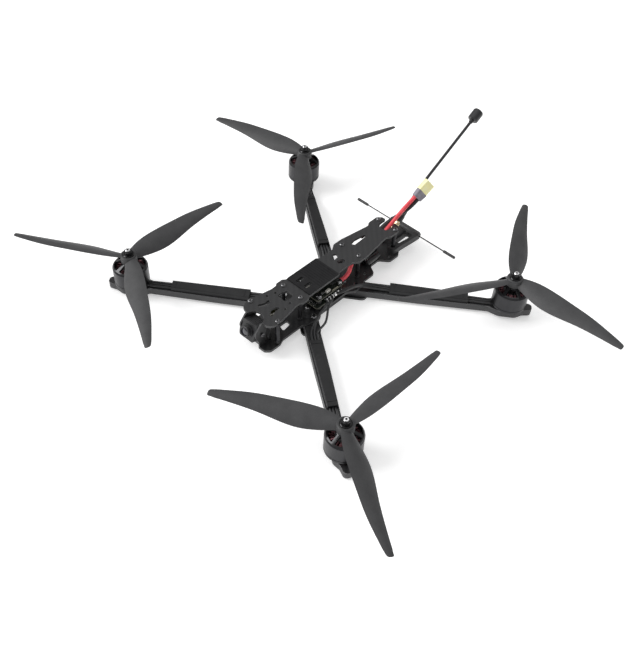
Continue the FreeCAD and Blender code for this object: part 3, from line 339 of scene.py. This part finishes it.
finish = {
    "carbon": carbon("carbon_plate", 2),
    "carbon_side": carbon("carbon_cheek", 0),
    "black_alloy": moulded("black_anodised", (0.022, 0.022, 0.024), (0.035, 0.035, 0.038), 0.34, 0.25, 0.01,
                           0.8, 4,
                           (0.25, 0.25, 0.26)),
    "black_steel": moulded("black_oxide", (0.018, 0.018, 0.019), (0.034, 0.034, 0.036), 0.30, 0.3, 0.01,
                           0.75, 3,
                           (0.38, 0.38, 0.39)),
    "screw_steel": moulded("screw_steel", (0.10, 0.10, 0.105), (0.20, 0.20, 0.205), 0.24, 0.3, 0.01, 0.95,
                           2,
                           (0.62, 0.62, 0.63)),
    "base_metal": moulded("base_anodised", (0.030, 0.030, 0.032), (0.055, 0.055, 0.058), 0.36, 0.3, 0.012,
                          0.8, 5,
                          (0.22, 0.22, 0.23)),
    "nut": moulded("nut_black", (0.010, 0.010, 0.011), (0.022, 0.022, 0.023), 0.20, 0.4, 0.015, 0.5, 3,
                   (0.40, 0.40, 0.41)),
    "zinc": moulded("zinc_nut", (0.50, 0.50, 0.51), (0.68, 0.68, 0.69), 0.22, 0.3, 0.012, 1.0, 2),
    "blade": blade_finish("blade_plastic"),
    "laminate_steel": laminated("stator_sheets"),
    "channel_plastic": moulded("channel_plastic", (0.010, 0.010, 0.011), (0.018, 0.018, 0.019), 0.56, 0.5,
                               0.03,
                               0, 12, (0.07, 0.07, 0.072), 0.35),
    "silicone_pad": moulded("grip_rubber", (0.008, 0.008, 0.009), (0.015, 0.015, 0.016), 0.62, 0.6, 0.04, 0,
                            7,
                            (0.05, 0.05, 0.05), 0.22),
    "camera_case": moulded("camera_plastic", (0.014, 0.014, 0.015), (0.028, 0.028, 0.030), 0.42, 0.35, 0.02,
                           0, 5,
                           (0.09, 0.09, 0.09)),
    "lens_glass": glass_finish("lens_coating"),
    "circuit_board": board("solder_mask"),
    "chips": moulded("chip_resin", (0.022, 0.022, 0.023), (0.040, 0.040, 0.041), 0.50, 0.18, 0.01, 0, 3),
    "white_plugs": moulded("plug_nylon_white", (0.62, 0.60, 0.54), (0.76, 0.74, 0.68), 0.40, 0.4, 0.012, 0,
                           3),
    "soft_spacer": moulded("grommet_rubber", (0.020, 0.020, 0.020), (0.038, 0.038, 0.038), 0.60, 0.5, 0.02,
                           0, 3),
    "transmitter_case": moulded("transmitter_metal", (0.035, 0.035, 0.038), (0.060, 0.060, 0.064), 0.38,
                                0.3, 0.012,
                                0.85, 6, (0.28, 0.28, 0.29)),
    "capacitor_can": moulded("can_sleeve", (0.014, 0.014, 0.015), (0.028, 0.028, 0.030), 0.22, 0.5, 0.01, 0,
                             4),
    "wire_black": moulded("silicone_black", (0.016, 0.016, 0.017), (0.032, 0.032, 0.034), 0.36, 0.7, 0.03,
                          0, 6,
                          (0.07, 0.07, 0.07)),
    "wire_red": moulded("silicone_red", (0.70, 0.045, 0.060), (0.86, 0.10, 0.12), 0.32, 0.7, 0.03, 0, 9,
                        (0.85, 0.30, 0.30)),
    "printed_yoke": layered_print("printed_rubber"),
    "gold": turned_metal("gold_plate", (0.96, 0.84, 0.58), (0.80, 0.62, 0.34), 0.26),
    "antenna_black": moulded("antenna_shell", (0.012, 0.012, 0.013), (0.022, 0.022, 0.024), 0.34, 0.8, 0.02,
                             0, 10,
                             (0.06, 0.06, 0.06)),
    "plug_yellow": moulded("plug_nylon_yellow", (0.97, 0.90, 0.42), (1.0, 0.97, 0.60), 0.34, 0.5, 0.015, 0,
                           5),
    "boot_grey": moulded("boot_rubber", (0.20, 0.185, 0.215), (0.29, 0.27, 0.31), 0.50, 0.7, 0.03, 0, 4),
    "copper": moulded("enamelled_copper", (0.11, 0.040, 0.048), (0.34, 0.17, 0.19), 0.24, 0.5, 0.01, 0.9,
                      4),
    "knurl": moulded("knurled_alloy", (0.07, 0.07, 0.073), (0.14, 0.14, 0.145), 0.30, 0.3, 0.01, 0.9, 2,
                     (0.5, 0.5, 0.5)),
    "pad_tin": moulded("tinned_pad", (0.56, 0.53, 0.42), (0.80, 0.76, 0.60), 0.28, 0.4, 0.02, 0.7, 2),
    "olive": moulded("olive_mask", (0.050, 0.050, 0.012), (0.085, 0.082, 0.022), 0.38, 0.6, 0.02, 0, 3),
    "tin": moulded("solder_tin", (0.80, 0.80, 0.81), (0.95, 0.95, 0.95), 0.26, 0.6, 0.03, 0.85, 2),
}

named = {
    "carbon": ["top_plate", "main_plate", "lower_plate"],
    "carbon_side": ["camera_cheek_left", "camera_cheek_right"],
    "black_alloy": ["standoffs"],
    "black_steel": ["lower_screws", "arm_bolts", "stack_bolts", "motor_screws"],
    "screw_steel": ["top_screws", "camera_screws"],
    "zinc": ["lock_nuts"],
    "silicone_pad": ["battery_pad"],
    "camera_case": ["camera_housing", "camera_lens"],
    "lens_glass": ["camera_glass"],
    "circuit_board": ["esc_board", "fc_board", "receiver"],
    "chips": ["esc_mosfets"],
    "white_plugs": ["fc_components"],
    "soft_spacer": ["stack_spacers"],
    "transmitter_case": ["video_transmitter"],
    "capacitor_can": ["capacitor"],
    "wire_black": ["motor_wires", "battery_lead_black"],
    "wire_red": ["battery_lead_red"],
    "printed_yoke": ["antenna_mount"],
    "gold": ["sma_connector", "lead_plug_contacts"],
    "antenna_black": ["antenna_pole", "antenna_head", "t_antenna_rods", "t_antenna_sleeves"],
    "boot_grey": ["lead_plug_boot"],
    "plug_yellow": ["lead_plug_housing"],
    "base_metal": ["motor_bases"],
    "laminate_steel": ["stator_cores"],
    "copper": ["stator_coils"],
}
corners = ["front_left", "front_right", "rear_left", "rear_right"]
for corner in corners:
    named["carbon"].append("arm_" + corner)
    named["channel_plastic"] = named.get("channel_plastic", []) + ["arm_cover_" + corner]
    named["blade"] = named.get("blade", []) + ["propeller_" + corner]
    named["nut"] = named.get("nut", []) + ["prop_nut_" + corner]


def centre(node):
    low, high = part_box(node)
    return (low + high) / 2


motor_at = {corner: centre("motor_bell_" + corner) for corner in corners}


def dress(piece, material):
    if piece.data.materials:
        for held in piece.material_slots:
            held.material = material
    else:
        piece.data.materials.append(material)


for key, names in named.items():
    for name in names:
        dress(nodes[name], finish[key])
for corner in corners:
    dress(nodes["motor_bell_" + corner], bell_finish("bell_" + corner, motor_at[corner]))


# ---------------------------------------------------------------- soft edges on the CAD pieces

def soften(name, width_mm, angle=32, segments=2):
    """Small rounded edge all over a machined or moulded piece."""
    piece = nodes[name]
    weld = piece.modifiers.new("weld", "WELD")
    weld.merge_threshold = 1e-6
    bevel = piece.modifiers.new("edge", "BEVEL")
    bevel.width = width_mm * MM
    bevel.segments = segments
    bevel.limit_method = "ANGLE"
    bevel.angle_limit = math.radians(angle)
    bevel.use_clamp_overlap = True
    bevel.harden_normals = False


for name in ["top_plate", "main_plate", "lower_plate", "camera_cheek_left", "camera_cheek_right"]:
    soften(name, 0.22)
for name in ["esc_board", "fc_board"]:
    soften(name, 0.14)
for corner in corners:
    soften("arm_" + corner, 0.35)


# ---------------------------------------------------------------- making pieces

def finish_piece(mesh, name, body, material, replaced=(), smooth=True):
    piece = bpy.data.objects.new(name, mesh)
    scene.collection.objects.link(piece)
    piece.data.materials.append(material)
    if smooth:
        for face in mesh.polygons:
            face.use_smooth = True
    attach(piece, body)
    if replaced:
        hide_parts(*replaced)
    return piece


def from_bmesh(bm, name):
    bmesh.ops.recalc_face_normals(bm, faces=bm.faces)
    mesh = bpy.data.meshes.new(name)
    bm.to_mesh(mesh)
    bm.free()
    return mesh


def closed_tube(bm, path, r, sides=6):
    """Tube round a closed path of Vectors."""
    count = len(path)
    rings = []
    up = Vector((1, 0, 0))
    for i, p in enumerate(path):
        along = (path[(i + 1) % count] - path[i - 1]).normalized()
        a = (up - along * up.dot(along)).normalized()
        b = along.cross(a)
        rings.append([bm.verts.new(p + (a * math.cos(t) + b * math.sin(t)) * r)
                      for t in (2 * math.pi * k / sides for k in range(sides))])
    for i in range(count):
        near = rings[i]
        far = rings[(i + 1) % count]
        for k in range(sides):
            bm.faces.new((near[k], near[(k + 1) % sides], far[(k + 1) % sides], far[k]))


def add_block(bm, low, high, edge=0.0):
    """Box in millimetres with its upright and top edges rounded off by edge."""
    (x0, y0, z0), (x1, y1, z1) = low, high
    levels = [(z0, 0.0), (z1 - edge, 0.0), (z1 - 0.3 * edge, 0.35 * edge), (z1, edge)] if edge else [(z0,
                                                                                                      0),
                                                                                                      (z1,
                                                                                                       0)]
    rings = []
    for z, inset in levels:
        c = edge * 0.6
        a0, a1, b0, b1 = x0 + inset, x1 - inset, y0 + inset, y1 - inset
        if edge:
            loop = [(a0 + c, b0), (a1 - c, b0), (a1, b0 + c), (a1, b1 - c), (a1 - c, b1), (a0 + c, b1),
                    (a0, b1 - c),
                    (a0, b0 + c)]
        else:
            loop = [(a0, b0), (a1, b0), (a1, b1), (a0, b1)]
        rings.append([bm.verts.new((x * MM, y * MM, z * MM)) for x, y in loop])
    n = len(rings[0])
    for near, far in zip(rings, rings[1:]):
        for k in range(n):
            bm.faces.new((near[k], near[(k + 1) % n], far[(k + 1) % n], far[k]))
    bm.faces.new(rings[0][::-1])
    bm.faces.new(rings[-1])


def add_turned(bm, profile, place, sides=20):
    """Closed solid of revolution; profile is (radius, height) in millimetres from bottom to top."""
    rings = []
    for r, z in profile:
        rings.append([bm.verts.new(place @ Vector((r * math.cos(t) * MM, r * math.sin(t) * MM, z * MM)))
                      for t in (2 * math.pi * k / sides for k in range(sides))])
    for near, far in zip(rings, rings[1:]):
        for k in range(sides):
            bm.faces.new((near[k], near[(k + 1) % sides], far[(k + 1) % sides], far[k]))
    bm.faces.new(rings[0][::-1])
    bm.faces.new(rings[-1])


# ---------------------------------------------------------------- battery leads

red_route = [(10, 13, 23.9), (11.8, 20.5, 25.2), (13.4, 27.5, 30.0), (9.2, 36.5, 34.8), (4.9, 46, 36.8),
             (4.6, 60, 37.2), (3.8, 76, 36.4), (3.4, 91, 36.8), (3.2, 104, 43.0), (3.9, 115, 50.2),
             (4.6, 124.5, 56.4)]
black_route = [(-6, 12, 23.9), (-6.2, 21, 25.0), (-5.4, 30, 30.4), (-4.6, 41, 35.2), (-4.2, 55, 37.0),
               (-4.0, 72, 36.6), (-3.7, 89, 36.4), (-3.0, 103, 41.8), (-0.6, 114, 46.0), (2.8, 122.5, 49.4),
               (5.9, 129.8, 53.4)]
lead_width = 4.5
plug_at = Vector((8.5, 145.8, 67.2))
plug_along = Vector((0.134, 0.813, 0.571)).normalized()
plug_wide = Vector((0.496, 0.443, -0.747))
plug_wide = (plug_wide - plug_along * plug_wide.dot(plug_along)).normalized()
lead_half = 2.5


def plug_point(w, t):
    return plug_at + plug_wide * w + plug_along * t


def lead(name, route, w, slot_name, replaced):
    """Limp silicone lead from the speed controller to the rear of the plug's sleeve."""
    points = [Vector(p) for p in route] + [plug_point(w, -13.0), plug_point(w, -5.0)]
    data = bpy.data.curves.new(name, "CURVE")
    data.dimensions = "3D"
    line = data.splines.new("NURBS")
    line.points.add(len(points) - 1)
    for point, p in zip(line.points, points):
        point.co = (*(p * MM), 1.0)
    line.order_u = 3
    line.use_endpoint_u = True
    line.resolution_u = 12
    data.bevel_depth = lead_width / 2 * MM
    data.bevel_resolution = 6
    data.use_fill_caps = True
    piece = bpy.data.objects.new(name, data)
    scene.collection.objects.link(piece)
    piece.data.materials.append(finish[slot_name])
    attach(piece, "airframe")
    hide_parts(replaced)
    return piece


lead("red_lead", red_route, -lead_half, "wire_red", "battery_lead_red")
lead("black_lead", black_route, lead_half, "wire_black", "battery_lead_black")


# ---------------------------------------------------------------- copper windings

def windings():
    """Every tooth of the four stators wound with one row of thick enamelled wire."""
    bm = bmesh.new()
    wire = 0.34
    half_tooth = math.tan(math.radians(15))
    low = 15.35
    high = 33.65
    bend = 0.9
    rng = random.Random(11)
    for corner in corners:
        middle = motor_at[corner]
        for tooth in range(12):
            spin = Matrix.Translation((middle.x, middle.y, 0)) @ Matrix.Rotation(math.radians(30 * tooth),
                                                                                 4, "Z")
            for turn in range(8):
                r = 9.0 + 0.68 * turn
                half = r * half_tooth - 0.55 + rng.uniform(-0.04, 0.02)
                loop = []
                for cy, cz, start in ((half - bend, high - bend, 0), (-half + bend, high - bend, 90),
                                      (-half + bend, low + bend, 180), (half - bend, low + bend, 270)):
                    for step in (0, 45, 90):
                        t = math.radians(start + step)
                        loop.append((cy + bend * math.cos(t), cz + bend * math.sin(t)))
                slant = rng.uniform(0.05, 0.22)
                path = [spin @ Vector(((r + slant * (z > 24)) * MM, y * MM, z * MM)) for y, z in loop]
                closed_tube(bm, path, wire * MM, 6)
    return from_bmesh(bm, "copper_windings")


finish_piece(windings(), "copper_windings", "airframe", finish["copper"], ["stator_coils"])


# ---------------------------------------------------------------- boards

esc_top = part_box("esc_board")[1].z / MM
fc_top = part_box("fc_board")[1].z / MM
pad_rows = [-0.6 + end * (0.5 + k) * 4.36 for end in (-1, 1) for k in range(3)]


stack_half = 15.25
stack_y = -4
spacer_at = [(sx * stack_half, stack_y + sy * stack_half) for sx in (1, -1) for sy in (1, -1)]
spacer_clear = 4.0         # small parts keep this far from the middle of a spacer


def solder():
    """Six rounded joints over the wire ends along each side of the speed controller and two at its tail."""
    bm = bmesh.new()
    rng = random.Random(5)
    spots = [(side * 18.9, y, 1.85, 3.0) for side in (1, -1) for y in pad_rows[:-1]]
    spots += [(side * 19.6, pad_rows[-1], 1.05, 2.4) for side in (1, -1)]
    spots += [(10, 13, 2.9, 3.4), (-6, 12, 2.9, 3.4)]
    for x, y, r, height in spots:
        grow = rng.uniform(0.92, 1.06)
        profile = [(r * grow, 0), (r * 0.98 * grow, 0.3), (r * 0.86 * grow, height * 0.55),
                   (r * 0.62, height * 0.85), (r * 0.3, height * 0.97), (r * 0.05, height)]
        place = Matrix.Translation((x * MM, y * MM, esc_top * MM)) @ Matrix.Diagonal((1.2, 0.95, 1, 1))
        add_turned(bm, profile, place, 18)
    return from_bmesh(bm, "solder_joints")


finish_piece(solder(), "solder_joints", "airframe", finish["tin"])


def small_parts():
    """Tiny resistors and capacitors: resin middles and tinned ends, in rows on both boards."""
    middles = bmesh.new()
    ends = bmesh.new()
    rng = random.Random(3)
    places = []
    for side in (1, -1):
        for k in range(7):
            places.append((side * (13.4 + 0.2 * rng.random()), -19.5 + 1.5 * k, fc_top, 0))
        for k in range(6):
            places.append((side * (8.5 - 1.6 * k * 0.9), -22.0, fc_top, 1))
            places.append((side * (14.6 - 1.9 * k), -25.6, esc_top, 1))
            places.append((side * (14.6 - 1.9 * k), -23.2, esc_top, 1))
        for k in range(4):
            places.append((side * 11.5, 4.5 + 2.1 * k, fc_top, 0))
    for x, y, z, turned in places:
        if min(math.dist((x, y), corner) for corner in spacer_at) < spacer_clear:
            continue
        long, wide, tall = 1.5, 0.8, 0.55
        if turned:
            add_block(middles, (x - wide / 2, y - long / 2 + 0.3, z), (x + wide / 2, y + long / 2 - 0.3,
                                                                       z + tall), 0.06)
            for sign in (1, -1):
                a, b = sorted((y + sign * long / 2, y + sign * (long / 2 - 0.3)))
                add_block(ends, (x - wide / 2 - 0.03, a, z), (x + wide / 2 + 0.03, b, z + tall + 0.04),
                          0.05)
        else:
            add_block(middles, (x - long / 2 + 0.3, y - wide / 2, z), (x + long / 2 - 0.3, y + wide / 2,
                                                                       z + tall), 0.06)
            for sign in (1, -1):
                a, b = sorted((x + sign * long / 2, x + sign * (long / 2 - 0.3)))
                add_block(ends, (a, y - wide / 2 - 0.03, z), (b, y + wide / 2 + 0.03, z + tall + 0.04),
                          0.05)
    finish_piece(from_bmesh(middles, "small_part_middles"), "small_part_middles", "airframe",
                 finish["chips"], smooth=False)
    finish_piece(from_bmesh(ends, "small_part_ends"), "small_part_ends", "airframe", finish["tin"],
                 smooth=False)


small_parts()


def controller_parts():
    """Processor and sensors, keyed white plugs with open mouths, and the row of tinned pads beside them."""
    chips = bmesh.new()
    white = bmesh.new()
    dark = bmesh.new()
    metal = bmesh.new()
    for x, y, w, d, h in ((0, -2, 8, 8, 1.2), (-8, 4, 4, 3, 1.0), (8, 4, 3, 3, 1.0), (6, -13, 5, 4, 1.4)):
        add_block(chips, (x - w / 2, y - d / 2, fc_top + 0.1), (x + w / 2, y + d / 2, fc_top + h), 0.12)
        for side in (1, -1):
            legs = int(d / 0.8)
            for k in range(legs):
                at = y - d / 2 + (k + 0.5) * d / legs
                a, b = sorted((x + side * (w / 2 - 0.1), x + side * (w / 2 + 0.5)))
                add_block(metal, (a, at - 0.15, fc_top), (b, at + 0.15, fc_top + 0.25))
    for x, y, w, d, h, face in ((15.3, -6.2, 3.0, 5.6, 2.7, 1), (-15.3, -6.2, 3.0, 7.4, 2.7, -1),
                                (-15.3, 2.2, 3.0, 5.0, 2.7, -1), (-3.3, -16.5, 5.0, 9.0, 2.4, 0),
                                (0, 12.5, 7.2, 6.0, 2.6, 0)):
        add_block(white, (x - w / 2, y - d / 2, fc_top), (x + w / 2, y + d / 2, fc_top + h), 0.3)
        count = int(d / 1.25)
        for k in range(count):
            at = y - d / 2 + (k + 0.5) * d / count
            if face:
                a, b = sorted((x + face * (w / 2 - 0.2), x + face * (w / 2 + 0.04)))
                add_block(dark, (a, at - 0.35, fc_top + 0.8), (b, at + 0.35, fc_top + 1.9))
            a, b = (x - w / 2 + 0.5, x - w / 2 + 1.0)
            add_block(dark, (a, at - 0.3, fc_top + h - 0.1), (b, at + 0.3, fc_top + h + 0.03))
    for side in (1, -1):
        for k in range(7):
            y = -1.6 + 1.28 * k
            add_block(metal, (side * 17.6 - 0.65, y - 0.42, fc_top), (side * 17.6 + 0.65, y + 0.42,
                                                                      fc_top + 0.5), 0.15)
    finish_piece(from_bmesh(white, "controller_plugs"), "controller_plugs", "airframe",
                 finish["white_plugs"], ["fc_components"], smooth=False)
    finish_piece(from_bmesh(chips, "controller_chips"), "controller_chips", "airframe",
                 finish["chips"],
                 smooth=False)
    finish_piece(from_bmesh(dark, "plug_mouths"), "plug_mouths", "airframe", finish["chips"],
                 smooth=False)
    finish_piece(from_bmesh(metal, "controller_pads"), "controller_pads", "airframe",
                 finish["pad_tin"],
                 smooth=False)


controller_parts()


# ---------------------------------------------------------------- board under the nose plate

def nose_board():
    """Small olive video board under the nose plate, hung on foam, with a pale strip of tape along it."""
    board_piece = bmesh.new()
    add_block(board_piece, (-4.5, -78.5, 35.0), (6.6, -60.0, 36.0), 0.2)
    finish_piece(from_bmesh(board_piece, "nose_board"), "nose_board", "airframe",
                 finish["olive"],
                 smooth=False)
    foam = bmesh.new()
    under_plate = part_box("top_plate")[0].z / MM
    add_block(foam, (-4.4, -78.0, 36.0), (-2.6, -60.5, under_plate), 0.4)
    finish_piece(from_bmesh(foam, "nose_board_foam"), "nose_board_foam", "airframe",
                 finish["soft_spacer"], smooth=False)
    strip = bmesh.new()
    steps = 14
    rows = []
    for k in range(steps + 1):
        t = k / steps
        x = 2.2 + 3.6 * t
        y = -79.2 + 12.0 * t
        z = 36.35 + 0.25 * math.sin(3.1 * t)
        rows.append([strip.verts.new(((x + dx) * MM, y * MM, (z + dz) * MM))
                     for dx, dz in ((-0.75, 0), (0.75, 0), (0.75, 0.22), (-0.75, 0.22))])
    for near, far in zip(rows, rows[1:]):
        for k in range(4):
            strip.faces.new((near[k], near[(k + 1) % 4], far[(k + 1) % 4], far[k]))
    strip.faces.new(rows[0][::-1])
    strip.faces.new(rows[-1])
    finish_piece(from_bmesh(strip, "nose_strip"), "nose_strip", "airframe",
                 finish["white_plugs"],
                 smooth=False)


nose_board()


# ---------------------------------------------------------------- knurled ends of the spacers

def knurls():
    """Raised diamond grip round both ends of each spacer between the decks, and round the top end only of
    the two rearmost spacers.
    """
    bm = bmesh.new()
    low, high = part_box("standoffs")
    z0 = low.z / MM
    z1 = high.z / MM
    count = 14
    for x, y in ((19, -83), (-19, -83), (12, -44), (-12, -44), (12, 44), (-12, 44), (12, 104), (-12, 104)):
        for base in (z1 - 2.9,) if y > 100 else (z0 + 0.3, z1 - 2.9):
            for row in range(4):
                for k in range(count):
                    t = 2 * math.pi * (k + 0.5 * (row % 2)) / count
                    z = base + 0.3 + 0.66 * row
                    tip = bm.verts.new(((x + 2.82 * math.cos(t)) * MM, (y + 2.82 * math.sin(t)) * MM,
                                        z * MM))
                    dt = math.pi / count * 0.95
                    rim = [bm.verts.new(((x + 2.56 * math.cos(t + a)) * MM,
                                         (y + 2.56 * math.sin(t + a)) * MM,
                                         (z + b) * MM)) for a, b in ((dt, 0), (0, 0.32), (-dt, 0),
                                                                     (0, -0.32))]
                    for i in range(4):
                        bm.faces.new((tip, rim[i], rim[(i + 1) % 4]))
                    bm.faces.new(rim[::-1])
    return from_bmesh(bm, "spacer_knurls")


finish_piece(knurls(), "spacer_knurls", "airframe", finish["knurl"], smooth=False)


# ---------------------------------------------------------------- stage and light

def stage():
    glow = 0.42            # lifts the paper to a clean white
    sky = 0.42
    floor_mesh = bpy.data.meshes.new("floor")
    span = 12.0
    floor_mesh.from_pydata([(-span, -span, 0), (span, -span, 0), (span, span, 0), (-span, span, 0)], [],
                           [(0, 1, 2, 3)])
    floor = bpy.data.objects.new("floor", floor_mesh)
    scene.collection.objects.link(floor)
    floor.location.z = -0.0005
    g = Graph("floor_paper", Specular_IOR_Level=0.2, Roughness=0.75, Emission_Color=(1, 1, 1),
              Emission_Strength=glow)
    g.put("Base Color", g.mix(g.noise(60, 2), (0.93, 0.93, 0.93), (0.95, 0.95, 0.95)))
    floor.data.materials.append(g.material)
    world = bpy.data.worlds.new("studio")
    world.use_nodes = True
    world.node_tree.nodes["Background"].inputs[0].default_value = (1.0, 1.0, 1.0, 1.0)
    world.node_tree.nodes["Background"].inputs[1].default_value = sky
    scene.world = world
    aim = Vector((0, 0, 0.02))
    for name, at, strength, spread in (("key", (-1.0, -0.85, 1.05), 2.1, 36),
                                       ("top", (-0.2, 0.3, 1.5), 0.55, 70)):
        data = bpy.data.lights.new(name, "SUN")
        data.energy = strength
        data.angle = math.radians(spread)
        lamp = bpy.data.objects.new(name, data)
        scene.collection.objects.link(lamp)
        lamp.location = at
        lamp.rotation_euler = (aim - Vector(at)).to_track_quat("-Z", "Y").to_euler()


stage()
scene.view_settings.view_transform = "Standard"
